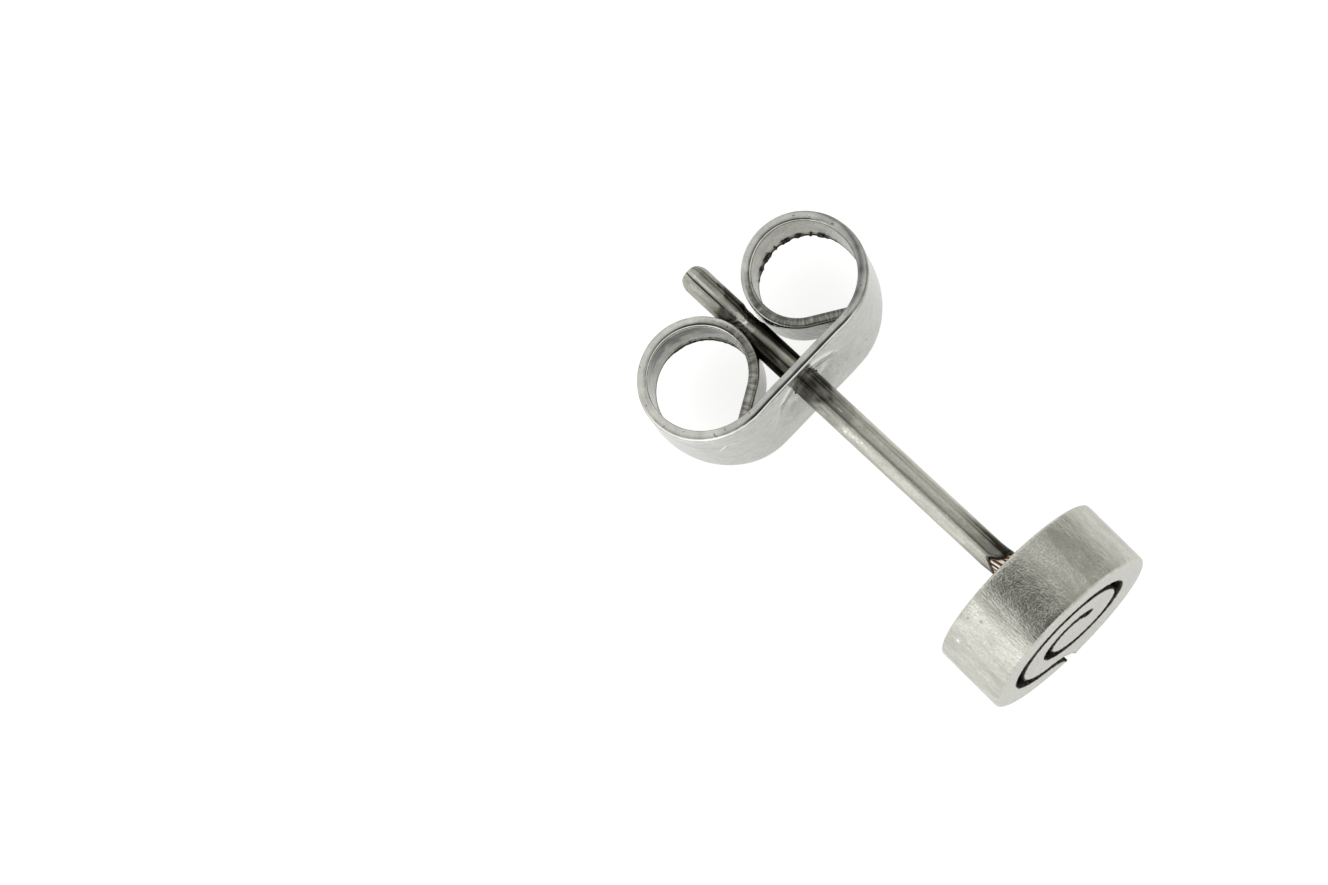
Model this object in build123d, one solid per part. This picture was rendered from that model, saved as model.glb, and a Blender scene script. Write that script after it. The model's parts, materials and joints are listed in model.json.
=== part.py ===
from build123d import *
from math import asin, atan2, ceil, cos, degrees, hypot, radians, sin
import os

# Spiral stud earring in steel: a round disc with a spiral slot cut right through it, a post
# welded to its back, and a curled butterfly clutch that slides on the post.
# Lengths in millimetres, angles in degrees.
# The stud lies as it does on a table: +X from the post's tip to the disc's face, +Z up.

# Disc
disc_diameter = 5.5
disc_thickness = 2.1
disc_edge_break = 0.06
disc_skew = 1.74        # the disc is welded on a little askew to the post, seen from above
disc_offset = 0.07      # and a little to one side

# Slot through the disc, seen from the front
slot_width = 0.29
spiral_outer_radius = 1.83
turn_spacing = 0.52     # how much the radius drops at each half turn
spiral_shift = 0.033    # the pattern's centre is this far off the disc's
spiral_turn = 74.5      # how far the pattern is turned on the post
lead_in_radius = 1.54   # the stretch from the rim curves the other way
lead_in_sweep_angle = 48.0
lead_in_angle = -106.4  # where the lead-in meets the outer arc
half_turn_angle = 17.0  # where the centre changes
inner_end_angle = 32.0

# Post, places measured from the disc's back
post_diameter = 0.8
post_length = 12.28
tip_length = 0.36
tip_flat_diameter = 0.46
groove_place = 10.15
groove_length = 0.8
groove_depth = 0.06
weld_length = 1.0       # the weld flares out towards the disc
weld_flare = 0.2
weld_depth = 0.04       # how deep it bites into the disc's back

# Butterfly clutch: one stamped strip, wide at the plate and narrow in its two curls
clutch_place = 7.75     # from the disc's back to the middle of the plate's thickness
strip_thickness = 0.3
plate_width = 4.68
plate_full_length = 2.16  # the stretch of the plate that has its full width
curl_width = 1.68
taper_length = 4.78     # along the strip, from full width down to the curl's width
curl_radius = 1.55      # to the middle of the strip's thickness
post_clearance = 0.03
tail_gap = 0.06
dimple_diameter = 3.1
dimple_depth = 0.22

# The two curls. bite: how deep the channel for the post is pressed into the curl's side, as a
# share of the strip's thickness; less than nothing where the curl stands off the post.
# opening, middle, closing: radius of each arc as a share of curl_radius, from the plate on.
# tail: angle between the straight end and the plate.
CURL_COLUMNS = ("side", "bite", "opening", "middle", "closing", "tail")
CURLS = (
    (1, -0.033, 1.283, 0.988, 0.905, 33.6),
    (-1, 0.55, 1.284, 1.015, 0.928, 29.3),
)
OPENING_END_ANGLE = 100.0  # turn of the strip where the opening arc ends
MIDDLE_END_ANGLE = 230.0   # and the middle arc
STATION_ANGLE = 20.0  # turn of the strip from one lofted section to the next

# Travel of the clutch along the post
travel_gap = 0.05

# Worked out from these
disc_radius = disc_diameter / 2
post_radius = post_diameter / 2
hole_radius = post_radius + post_clearance
face_plane = Plane(origin=(0, 0, 0), x_dir=(0, 0, -1), z_dir=(1, 0, 0))


def on_circle(centre, radius, angle):
    return (centre[0] + radius * cos(radians(angle)), centre[1] + radius * sin(radians(angle)))


def arc_edge(centre, radius, start, end):
    """An arc of a circle in the plane, from one angle to another, either way round."""
    points = [on_circle(centre, radius, a) for a in (start, (start + end) / 2, end)]
    return ThreePointArc(*points)


def spiral_arcs():
    """Middle line of the slot from the rim inwards: four tangent arcs.

    Each arc is (centre, radius, start angle, end angle, side), side 1 where the slot curves
    round the disc's centre and -1 on the lead-in, which curves the other way.
    """
    middle = (-spiral_shift, 0.0)
    second = on_circle(middle, turn_spacing, half_turn_angle)
    lead = on_circle(middle, spiral_outer_radius + lead_in_radius, lead_in_angle)
    meet = lead_in_angle + 180
    turn = half_turn_angle
    return [
        (lead, lead_in_radius, meet - lead_in_sweep_angle, meet, -1),
        (middle, spiral_outer_radius, lead_in_angle, turn - 360, 1),
        (second, spiral_outer_radius - turn_spacing, turn, turn - 180, 1),
        (middle, spiral_outer_radius - 2 * turn_spacing, turn + 180, inner_end_angle, 1),
    ]


def slot_cutter():
    """The slot as a solid: the arcs offset to both sides, straight out past the rim, round inside."""
    arcs = spiral_arcs()
    half = slot_width / 2
    sides = []
    for out in (half, -half):
        sides.append([arc_edge(c, r + out * side, a, b) for c, r, a, b, side in arcs])
    outer, inner = sides
    start = arcs[0][2]
    run = disc_radius + slot_width
    away = (sin(radians(start)) * run, -cos(radians(start)) * run)
    mouth = []
    for edge in (outer[0], inner[0]):
        near = edge @ 0
        mouth.append((near.X + away[0], near.Y + away[1]))
    centre, radius, _, end, _ = arcs[-1]
    tip = on_circle(centre, radius, end)
    ahead = (tip[0] + half * sin(radians(end)), tip[1] - half * cos(radians(end)))
    cap = ThreePointArc(outer[-1] @ 1, ahead, inner[-1] @ 1)
    lines = [
        Line(mouth[0], outer[0] @ 0),
        Line(mouth[1], inner[0] @ 0),
        Line(mouth[0], mouth[1]),
    ]
    outline = Wire(outer + inner + [cap] + lines)
    flat = Face(outline).rotate(Axis.Z, spiral_turn)
    cutter = extrude(flat, disc_thickness * 2, both=True)
    return face_plane * cutter


def disc():
    """Round plate with broken edges, its back at x = 0, cut right through by the slot."""
    profile = make_face(Polyline(
        (0, 0), (0, disc_radius), (disc_thickness, disc_radius), (disc_thickness, 0), close=True))
    corners = profile.vertices().sort_by(Axis.Y)[-2:]
    blank = revolve(fillet(corners, disc_edge_break), Axis.X)
    cut = blank - slot_cutter()
    return Pos(0, -disc_offset, 0) * Rot(0, 0, -disc_skew) * cut


def post():
    """Turned profile: weld flare, wire, clutch groove and blunt rounded tip, along -X."""
    groove_start = groove_place - groove_length / 2
    groove_end = groove_place + groove_length / 2
    tip_start = post_length - tip_length
    foot = post_radius + weld_flare
    edges = [
        Line((weld_depth, 0), (weld_depth, foot)),
        Line((weld_depth, foot), (0, foot)),
        Bezier((0, foot), (-weld_length / 2, post_radius), (-weld_length, post_radius)),
        Line((-weld_length, post_radius), (-groove_start, post_radius)),
        ThreePointArc(
            (-groove_start, post_radius),
            (-groove_place, post_radius - groove_depth),
            (-groove_end, post_radius)),
        Line((-groove_end, post_radius), (-tip_start, post_radius)),
        TangentArc((-tip_start, post_radius), (-post_length, tip_flat_diameter / 2), tangent=(-1, 0)),
        Line((-post_length, tip_flat_diameter / 2), (-post_length, 0)),
        Line((-post_length, 0), (weld_depth, 0)),
    ]
    return revolve(Face(Wire(edges)), Axis.X)


def strip_width(place):
    """Width of the strip at a distance along it from the plate's middle."""
    share = (abs(place) - plate_full_length / 2) / taper_length
    share = min(max(share, 0.0), 1.0)
    eased = share * share * (3 - 2 * share)
    return plate_width + (curl_width - plate_width) * eased


def curl_arcs(curl):
    """Middle line of one curl: three tangent arcs, then the straight tail.

    In the plane of the curl, along is the distance from the post's axis and back the distance
    behind the plate's middle, towards the post's tip. The strip's heading turns from 0 at the
    plate, through 90 where it points at the tip, to 360 less the tail's angle.
    """
    opening = curl["opening"] * curl_radius
    middle = curl["middle"] * curl_radius
    closing = curl["closing"] * curl_radius
    touch = post_radius + strip_thickness * (0.5 - curl["bite"])
    start = touch + closing
    start -= (opening - middle) * sin(radians(OPENING_END_ANGLE))
    start -= (middle - closing) * sin(radians(MIDDLE_END_ANGLE))
    first = (start, opening)
    second = (
        first[0] + (opening - middle) * sin(radians(OPENING_END_ANGLE)),
        first[1] - (opening - middle) * cos(radians(OPENING_END_ANGLE)))
    third = (
        second[0] + (middle - closing) * sin(radians(MIDDLE_END_ANGLE)),
        second[1] - (middle - closing) * cos(radians(MIDDLE_END_ANGLE)))
    arcs = [
        (first, opening, 0.0, OPENING_END_ANGLE),
        (second, middle, OPENING_END_ANGLE, MIDDLE_END_ANGLE),
        (third, closing, MIDDLE_END_ANGLE, 360 - curl["tail"]),
    ]
    return start, arcs


def curl_point(centre, radius, heading):
    """Point of the middle line where the strip has this heading."""
    return (
        centre[0] + radius * sin(radians(heading)),
        centre[1] - radius * cos(radians(heading)))


def section(point, heading, width, side):
    """The strip's cross-section at a point of the middle line."""
    normal = Vector(cos(radians(heading)), side * sin(radians(heading)), 0)
    ahead = Vector(-sin(radians(heading)), side * cos(radians(heading)), 0)
    plane = Plane(origin=(-point[1], side * point[0], 0), x_dir=normal, z_dir=ahead)
    return plane * Rectangle(strip_thickness, width)


def curl(values):
    """One curl: each arc lofted through a few sections, and the tail's straight end."""
    side = values["side"]
    start, arcs = curl_arcs(values)
    place = start
    solid = Part()
    for centre, radius, begin, end in arcs:
        count = ceil((end - begin) / STATION_ANGLE)
        sections = []
        for step in range(count + 1):
            heading = begin + (end - begin) * step / count
            along = place + radius * radians(heading - begin)
            point = curl_point(centre, radius, heading)
            sections.append(section(point, heading, strip_width(along), side))
        solid += loft(sections)
        place += radius * radians(end - begin)
    angle = radians(values["tail"])
    room = point[1] - strip_thickness / 2 - tail_gap - cos(angle) * strip_thickness / 2
    solid += extrude(sections[-1], room / sin(angle))
    return start, solid


def plate(start_left, start_right):
    """Flat middle of the strip, with a dimple pressed in towards the curls round the hole."""
    full = plate_full_length / 2
    places = [-start_left, -full, full, start_right]
    places = sorted(place for place in places if -start_left <= place <= start_right)
    upper = [(place, strip_width(place) / 2) for place in places]
    corners = upper + [(place, -half) for place, half in reversed(upper)]
    thick = strip_thickness / 2
    outline = [(thick, y, z) for y, z in corners]
    blank = extrude(make_face(Polyline(*outline, close=True)), strip_thickness, dir=(-1, 0, 0))
    ball_radius = (dimple_diameter ** 2 / 4 + dimple_depth ** 2) / (2 * dimple_depth)
    hollow = Pos(thick + ball_radius - dimple_depth, 0, 0) * Sphere(ball_radius)
    boss = Pos(ball_radius - thick - dimple_depth, 0, 0) * Sphere(ball_radius)
    keep = Pos(-thick - dimple_depth, 0, 0) * Cylinder(
        dimple_diameter, 2 * (dimple_depth + thick), rotation=(0, 90, 0))
    return blank + (boss & keep) - hollow


def clutch():
    """The whole curled strip in the post's frame, bored for the post from end to end."""
    starts = []
    curls = []
    for row in CURLS:
        start, solid = curl(dict(zip(CURL_COLUMNS, row)))
        starts.append(start)
        curls.append(solid)
    strip = plate(starts[1], starts[0]) + curls[0] + curls[1]
    reach = 4 * curl_radius + post_length
    bore = Cylinder(hole_radius, reach, rotation=(0, 90, 0))
    return Pos(-clutch_place, 0, 0) * (strip - bore)


def rest_pitch():
    """How far the post slopes down to its tip when the disc and the plate touch the table."""
    reach = clutch_place + strip_thickness / 2 + disc_edge_break
    drop = disc_radius - disc_edge_break - plate_width / 2
    return degrees(atan2(drop, reach) + asin(disc_edge_break / hypot(reach, drop)))


def build():
    pitch = rest_pitch()
    tilt = Rot(0, -pitch, 0)
    stud = tilt * (disc() + post())
    nut = tilt * clutch()
    boxes = [stud.bounding_box(), nut.bounding_box()]
    low = [min(getattr(b.min, axis) for b in boxes) for axis in "XYZ"]
    high = [max(getattr(b.max, axis) for b in boxes) for axis in "XYZ"]
    lift = Pos(-(low[0] + high[0]) / 2, -(low[1] + high[1]) / 2, -low[2])
    return pitch, lift, {"spiral_stud": lift * stud, "butterfly_clutch": lift * nut}


pitch, lift, nodes = build()
os.makedirs("parts", exist_ok=True)
for name, shape in nodes.items():
    export_step(shape, f"parts/{name}.step")

base = lift.position
print("slope of the post", round(pitch, 4), "post meets the disc at", base.X, base.Y, base.Z)
print("clutch to the weld", clutch_place - strip_thickness / 2 - weld_length - travel_gap)
reach_back = clutch_place + strip_thickness / 2 + dimple_depth
print("clutch to the tip", post_length - tip_length - reach_back)
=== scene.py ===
"""Looks of the spiral stud earring: brushed disc with a spiral slot, drawn post, stamped clutch.

Every shape is worked out in the stud's own axes, in millimetres, from the point where the post
meets the disc: x along the post towards the disc's face, y across it, z up. seat() puts those
points into the frame, in metres. The sizes are those of the part's source, save for the rounding
of the disc's rim and the depth of the channel that the post leaves in the curls.
"""
import json

import bmesh
import bpy
import numpy as np
from mathutils import Matrix


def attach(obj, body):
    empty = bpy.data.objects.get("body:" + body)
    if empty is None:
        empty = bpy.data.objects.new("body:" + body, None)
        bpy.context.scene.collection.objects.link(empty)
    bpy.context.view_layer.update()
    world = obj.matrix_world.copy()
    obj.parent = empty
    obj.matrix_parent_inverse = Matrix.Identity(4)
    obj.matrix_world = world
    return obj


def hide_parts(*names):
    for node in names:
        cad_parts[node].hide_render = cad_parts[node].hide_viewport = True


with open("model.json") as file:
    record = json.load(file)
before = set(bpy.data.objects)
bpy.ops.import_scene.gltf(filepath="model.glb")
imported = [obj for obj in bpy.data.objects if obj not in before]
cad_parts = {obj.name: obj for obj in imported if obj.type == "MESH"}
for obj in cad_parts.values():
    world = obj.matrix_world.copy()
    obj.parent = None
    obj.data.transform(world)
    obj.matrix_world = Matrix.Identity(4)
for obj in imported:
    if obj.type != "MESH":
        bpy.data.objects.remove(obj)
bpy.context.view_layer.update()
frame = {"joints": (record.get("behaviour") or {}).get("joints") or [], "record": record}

MM = 0.001
merge_distance = 2e-4 * MM

# Disc and its slot
disc_radius = 2.75
disc_thickness = 2.1
disc_skew = 1.74
disc_offset = 0.07
rim_round = 0.08
slot_round = 0.018
slot_width = 0.29
spiral_outer_radius = 1.83
turn_spacing = 0.52
spiral_shift = 0.033
spiral_turn = 74.5
lead_in_radius = 1.54
lead_in_sweep = 48.0
lead_in_angle = -106.4
half_turn_angle = 17.0
inner_end_angle = 32.0
outline_step = 0.024
corner_softness = 0.018
mouth_reach = 0.35
wall_jag = 0.016
wall_lumps = 0.010
wall_teeth = 0.05
wall_drift = 0.05
rim_waves = 0.0015

# Post
post_radius = 0.4
post_length = 12.28
post_root = 0.03
tip_flat_radius = 0.23
tip_length = 0.36
tip_round = 0.05
groove_place = 10.15
groove_length = 0.8
groove_depth = 0.06
weld_length = 1.0
weld_flare = 0.2
weld_pool = 0.63
pool_rise = 0.26
neck_lean = 0.045
ridge_height = 0.018
fold_depth = 0.035
fold_width = 0.035
dent_depth = 0.012
wire_grain = 0.0012
turn_points = 241

# Clutch
clutch_place = 7.75
strip_thickness = 0.3
plate_width = 4.68
plate_full_length = 2.16
curl_width = 1.68
taper_length = 4.78
curl_radius = 1.55
hole_radius = 0.43
channel_radius = 0.415
hole_lip = 0.02
tail_gap = 0.06
dimple_radius = 1.55
dimple_flat = 0.55
dimple_depth = 0.22
# The dimple as its painted highlight and painted shade show it. Its rim is an oval: how many times
# longer it is across the strip, and how far the painted highlight on the rim and the band of painted
# shade inside it reach across. Its bottom, round which a fainter painted highlight runs: how far it
# reaches along the strip and across it, and how far its middle lies towards +z.
oval_stretch = 1.7
oval_rim = 2.02
oval_band = 1.80
bottom_reach = (0.78, 0.95)
bottom_rise = 0.4
opening_end = 100.0
middle_end = 230.0
# side, bite as a share of the thickness, opening, middle and closing radius as shares of
# curl_radius, angle of the tail
curls = ((1, -0.033, 1.283, 0.988, 0.905, 33.6), (-1, 0.55, 1.284, 1.015, 0.928, 29.3))
edge_round = 0.085
edge_tilt = 0.14
edge_lean = {1: 0.14, -1: 0.36}
edge_waves = 0.0012
corner_points = 8
land_points = 3
edge_points = 2 * corner_points + land_points
face_columns = 22
# The torn far edge: headings where it starts and ends, how far its burr and the burr's teeth
# reach, and each corner point's share of that reach and its own height
torn_headings = {1: (1.65, 3.5), -1: (2.85, 4.3)}
burr_least = 0.012
burr_reach = 0.028
burr_teeth = {1: 0.042, -1: 0.012}
burr_lip = (0, 0, 0, 0.1, 0.3, 0.7, 1.0, 0.0)
burr_rise = (0, 0, 0, 0, 0, 0, -0.01, -0.05)
# Tone across the near edge's corner, from the face to the land: below 0 a painted highlight line,
# above 0 a painted dark reflection line
corner_lines = (-0.5, -1.0, -0.4, 0.9, 1.0, 0.5)
# The painted dark reflection band on the +y curl's edge: headings, and its middle from -1, inner, to 1,
# outer
band_turns = (0.0, 0.3, 0.8, 1.2, 1.6, 2.0, 2.4)
band_middles = (0.3, -0.6, -0.4, 0.0, 0.5, 0.8, 0.95)
patch_reach = 1.85
patch_ring = 1.66
patch_circles = 44
patch_blend = 8
# How much darker the plate's faces are painted: painted shade, reaching onto the curls' outer faces near the
# plate
plate_painted_shade = 0.16
strip_step = 0.032

# The photograph's camera, in the frame's axes
camera_place = (29.745, -11.829, 187.09)
camera_right = (0.71643828, 0.69002066, -0.10289646)
camera_down = (0.6735046, -0.72254513, -0.155949)
camera_ahead = (-0.18195537, 0.04242659, -0.98239108)
focal_pixels = 7000.0
image_width = 1328
sensor_width = 36.0


# Placing

slide_axis = np.array(frame["joints"][0]["axis"], float)
along = slide_axis / np.linalg.norm(slide_axis)
across = np.array([0.0, 1.0, 0.0])
upward = np.cross(along, across)
post_mount = next(m for m in frame["record"]["mounts"] if m["name"] == "post")
wire_middle = (weld_length + groove_place - groove_length / 2) / 2
foot = np.array(post_mount["pos_m"], float) + MM * wire_middle * along


def seat(points):
    """The stud's own axes in millimetres to the frame in metres."""
    return foot + MM * (points @ np.array([along, across, upward]))


# Unevenness

def ripple(place, shortest, longest, seed, waves=16):
    """Sum of sine waves of place, lengths spread from shortest to longest, about -1 to 1."""
    draw = np.random.default_rng(seed)
    lengths = shortest * (longest / shortest) ** draw.random(waves)
    phases = draw.random(waves) * 2 * np.pi
    total = sum(np.sin(2 * np.pi * place / n + p) for n, p in zip(lengths, phases))
    return total / np.sqrt(waves)


def lumps(u, v, shortest, longest, seed, waves=24):
    """Sum of sine waves that run in random directions over the surface (u, v), about -1 to 1."""
    draw = np.random.default_rng(seed)
    lengths = shortest * (longest / shortest) ** draw.random(waves)
    turns = draw.random(waves) * 2 * np.pi
    phases = draw.random(waves) * 2 * np.pi
    total = 0
    for n, a, p in zip(lengths, turns, phases):
        total = total + np.sin(2 * np.pi * (u * np.cos(a) + v * np.sin(a)) / n + p)
    return total / np.sqrt(waves)


def ease(low, high, value):
    """0 below low, 1 above high, and the smooth cubic between."""
    t = np.clip((value - low) / (high - low), 0, 1)
    return t * t * (3 - 2 * t)


def bell(value, middle, width):
    """1 at the middle, falling off to both sides as a bell curve."""
    return np.exp(-((value - middle) / width) ** 2)


# Meshes

def joined(*values):
    """Values stretched to one shape and stacked as the last axis."""
    return np.stack(np.broadcast_arrays(*values), -1)


def sheet(points, uv, finish, shade=0.0, tone=0.0):
    """One open grid of points with its surface coordinates, finishes, shade and tone."""
    rows, columns = points.shape[:2]
    i = np.arange(rows - 1)[:, None] * columns
    j = np.arange(columns - 1)[None, :]
    order = (0, 1, columns + 1, columns)
    return {
        "points": points.reshape(-1, 3),
        "uv": uv.reshape(-1, 2),
        "faces": np.stack([i + j + step for step in order], -1).reshape(-1, 4),
        "finish": np.broadcast_to(finish, (rows - 1, columns - 1)).reshape(-1),
        "shade": np.broadcast_to(shade, (rows, columns)).reshape(-1),
        "tone": np.broadcast_to(tone, (rows, columns)).reshape(-1),
        "smooth": np.ones((rows - 1) * (columns - 1), bool),
    }


def cap(points, uv, finish):
    """One flat face round a ring of points."""
    return {
        "points": points,
        "uv": uv,
        "faces": np.arange(len(points))[None, :],
        "finish": np.array([finish]),
        "shade": np.zeros(len(points)),
        "tone": np.zeros(len(points)),
        "smooth": np.zeros(1, bool),
    }


def linked(name, data):
    """A new object with this data, in the scene."""
    made = bpy.data.objects.new(name, data)
    bpy.context.scene.collection.objects.link(made)
    return made


def piece(title, parts, finishes, body, node, sharp=50.0):
    """Joins the grids and caps into one closed mesh whose shared edges are merged."""
    whole = {name: np.concatenate([part[name] for part in parts]) for name in parts[0] if name != "faces"}
    faces, start = [], 0
    for part in parts:
        faces += (part["faces"] + start).tolist()
        start += len(part["points"])
    mesh = bpy.data.meshes.new(title)
    mesh.from_pydata(seat(whole["points"]), [], faces)
    corners = np.empty(len(mesh.loops), np.int32)
    mesh.loops.foreach_get("vertex_index", corners)
    uv = whole["uv"][corners].astype(np.float32).ravel()
    mesh.uv_layers.new(name="Surface").data.foreach_set("uv", uv)
    for name in ("shade", "tone"):
        values = whole[name].astype(np.float32)
        mesh.attributes.new(name, "FLOAT", "POINT").data.foreach_set("value", values)
    mesh.polygons.foreach_set("material_index", whole["finish"].astype(np.int32))
    mesh.polygons.foreach_set("use_smooth", whole["smooth"])
    for finish in finishes:
        mesh.materials.append(finish)
    work = bmesh.new()
    work.from_mesh(mesh)
    bmesh.ops.remove_doubles(work, verts=work.verts, dist=merge_distance)
    bmesh.ops.recalc_face_normals(work, faces=work.faces)
    work.to_mesh(mesh)
    work.free()
    mesh.set_sharp_from_angle(angle=np.radians(sharp))
    made = linked(title, mesh)
    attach(made, body)
    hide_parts(node)


# Disc

def polar(centre, radius, angle):
    """Points of a circle at these angles."""
    turn = np.radians(angle)
    return joined(centre[0] + radius * np.cos(turn), centre[1] + radius * np.sin(turn))


def arc(centre, radius, start, end):
    """Points of a circle from one angle to another, outline_step apart."""
    count = int(np.ceil(abs(np.radians(end - start)) * radius / outline_step))
    return polar(centre, radius, np.linspace(start, end, count + 1))


def slot_walls():
    """Both walls of the slot from outside the rim inwards, and the round inner end.

    The middle line is four tangent arcs; a wall is the same arcs with half the slot's width
    more or less radius.
    """
    middle = (-spiral_shift, 0.0)
    second = polar(middle, turn_spacing, half_turn_angle)
    lead = polar(middle, spiral_outer_radius + lead_in_radius, lead_in_angle)
    meet = lead_in_angle + 180
    turn = half_turn_angle
    arcs = (
        (lead, lead_in_radius, meet - lead_in_sweep, meet, -1),
        (middle, spiral_outer_radius, lead_in_angle, turn - 360, 1),
        (second, spiral_outer_radius - turn_spacing, turn, turn - 180, 1),
        (middle, spiral_outer_radius - 2 * turn_spacing, turn + 180, inner_end_angle, 1))
    half = slot_width / 2
    start = np.radians(arcs[0][2])
    away = np.array([np.sin(start), -np.cos(start)])
    run = np.arange(disc_radius, 0, -outline_step)[:, None] * away
    walls = []
    for out in (half, -half):
        bends = [arc(c, r + out * side, a, b) for c, r, a, b, side in arcs]
        line = np.concatenate([run + bends[0][0]] + bends)
        inside = np.hypot(*line.T) < disc_radius - outline_step / 4
        walls.append(line[np.argmax(inside):])
    centre, radius, _, end, _ = arcs[-1]
    return *walls, polar(polar(centre, radius, end), half, np.linspace(end, end - 180, 20)[1:-1])


def disc_outline():
    """The disc's outline as one closed line, in along one wall, out along the other, round the rim.

    Stepped evenly, then softened by a bell curve of corner_softness so that corners are round.
    """
    outer, inner, cup = slot_walls()
    leave = np.degrees(np.arctan2(inner[0][1], inner[0][0]))
    back = np.degrees(np.arctan2(outer[0][1], outer[0][0]))
    sweep = (back - leave) % 360
    if sweep < 180:
        sweep -= 360
    rim = arc((0, 0), disc_radius, leave, leave + sweep)
    line = np.concatenate([outer, cup, inner[::-1], rim])
    gaps = np.hypot(*np.diff(line, axis=0, append=line[:1]).T)
    place = np.concatenate([[0], np.cumsum(gaps)])
    count = int(place[-1] / outline_step)
    even = np.arange(count) * place[-1] / count
    closed = np.concatenate([line, line[:1]])
    line = np.stack([np.interp(even, place, closed[:, k]) for k in range(2)], 1)
    waves = np.fft.fftfreq(count, outline_step)[:, None]
    soft = np.exp(-2 * (np.pi * corner_softness * waves) ** 2)
    line = np.fft.ifft(np.fft.fft(line, axis=0) * soft, axis=0).real
    step = np.roll(line, -1, 0) - np.roll(line, 1, 0)
    step /= np.hypot(*step.T)[:, None]
    area = np.sum(line[:, 0] * np.roll(line[:, 1], -1) - line[:, 1] * np.roll(line[:, 0], -1))
    outward = joined(step[:, 1], -step[:, 0]) * np.sign(area)
    return line, outward, even


def disc_place(depth, flat):
    """Face coordinates (right, up) and depth from the back to the stud's axes: turned by
    spiral_turn, right is down along z and up is y, then skewed and set aside as the disc is."""
    turn = np.radians(spiral_turn)
    right = flat[..., 0] * np.cos(turn) - flat[..., 1] * np.sin(turn)
    up = flat[..., 0] * np.sin(turn) + flat[..., 1] * np.cos(turn)
    skew = np.radians(disc_skew)
    x = depth * np.cos(skew) + up * np.sin(skew)
    y = up * np.cos(skew) - depth * np.sin(skew) - disc_offset
    return joined(x, y, -right)


def disc(finishes):
    """The outline carried through the thickness, with a quarter round at both faces. The slot's
    walls are uneven: waves of the place along the outline that drift with depth, plus lumps. The
    rim stays nearly true."""
    line, outward, place = disc_outline()
    reach = np.hypot(*line.T)
    slotted = 1 - ease(disc_radius - 0.03, disc_radius - 0.01, reach)
    corners = [np.hypot(*(line - line[k]).T) for k in mouth_corners(slotted)]
    near_mouth = ease(0.0, mouth_reach, np.minimum.reduce(corners))
    rounding = slot_round + (rim_round - slot_round) * (1 - slotted) * near_mouth
    quarter = np.linspace(0, np.pi / 2, 6)[None, :]
    wall = np.linspace(0, 1, 15)[1:-1][None, :]
    r = rounding[:, None]
    back_x = r * (1 - np.cos(quarter))
    back_in = r * (1 - np.sin(quarter))
    wall_x = r + (disc_thickness - 2 * r) * wall
    depth = np.concatenate([back_x, wall_x, disc_thickness - back_x[:, ::-1]], 1)
    inset = np.concatenate([back_in, 0 * wall_x, back_in[:, ::-1]], 1)
    s = place[:, None]
    drag = s + wall_drift * depth
    jag = wall_jag * ripple(drag, 0.07, 0.25, 11) + wall_lumps * lumps(s, depth, 0.12, 0.6, 12)
    teeth = wall_teeth * np.maximum(ripple(drag, 0.12, 0.4, 13) - 1.0, 0)
    rough = slotted[:, None]
    inset = inset - rough * (jag + teeth) - (1 - rough) * rim_waves * lumps(s, depth, 0.2, 1.5, 14)
    flat = line[:, None, :] - outward[:, None, :] * inset[..., None]
    grid = disc_place(depth, flat)
    around = np.concatenate([grid, grid[:1]])
    length = place[-1] + outline_step
    uv = joined(s, depth)
    uv = np.concatenate([uv, uv[:1] + np.array([length, 0])])
    cut = np.append(slotted, slotted[0])
    zone = np.where((cut[1:] + cut[:-1]) / 2 > 0.5, 2, 0)[:, None]
    walls = sheet(around, uv, zone)
    faces = [cap(grid[:, k], flat[:, k], 1) for k in (0, -1)]
    piece("disc", [walls] + faces, finishes, "stud", "spiral_stud")


def mouth_corners(slotted):
    """Where the outline passes from the rim to a wall of the slot."""
    return np.flatnonzero(np.abs(np.diff(slotted > 0.5, append=slotted[-1:] > 0.5)))


# Post

def post_profile(place):
    """Radius of the post: wire, plus the weld's flare (fourth power of what is left of its
    length), less the groove's parabola, less the tip's arc and the round at its end."""
    radius = np.full_like(place, post_radius)
    radius += weld_flare * np.clip(1 - place / weld_length, 0, 1) ** 4
    radius -= groove_depth * groove_share(place)
    drop = post_radius - tip_flat_radius
    bend = (tip_length ** 2 + drop ** 2) / (2 * drop)
    d = np.clip(place - (post_length - tip_length), 0, tip_length)
    radius -= bend - np.sqrt(bend ** 2 - d ** 2)
    e = np.clip(place - (post_length - tip_round), 0, tip_round)
    radius -= tip_round - np.sqrt(tip_round ** 2 - e ** 2)
    return radius


def groove_share(place):
    """1 in the middle of the groove, 0 at its ends and beyond."""
    return np.clip(1 - ((place - groove_place) / (groove_length / 2)) ** 2, 0, 1)


# What the drawing die left along the wire: angle from straight up, depth (below 0 it is raised),
# width in angle, and how much darker it is painted: the darkness is painted reflection laid on the real
# lines
wire_lines = (
    (-0.14, -0.009, 0.20, 0.0), (-0.16, 0.001, 0.06, 0.28), (0.50, 0.003, 0.045, 0.32),
    (0.78, 0.003, 0.06, 0.40), (0.96, 0.003, 0.04, 0.34), (0.16, 0.002, 0.035, 0.12),
    (-0.75, 0.003, 0.06, 0.06), (-1.2, 0.003, 0.08, 0.06), (2.4, 0.005, 0.08, 0.1),
    (-2.2, 0.006, 0.07, 0.1), (3.3, 0.004, 0.06, 0.1))


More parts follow.
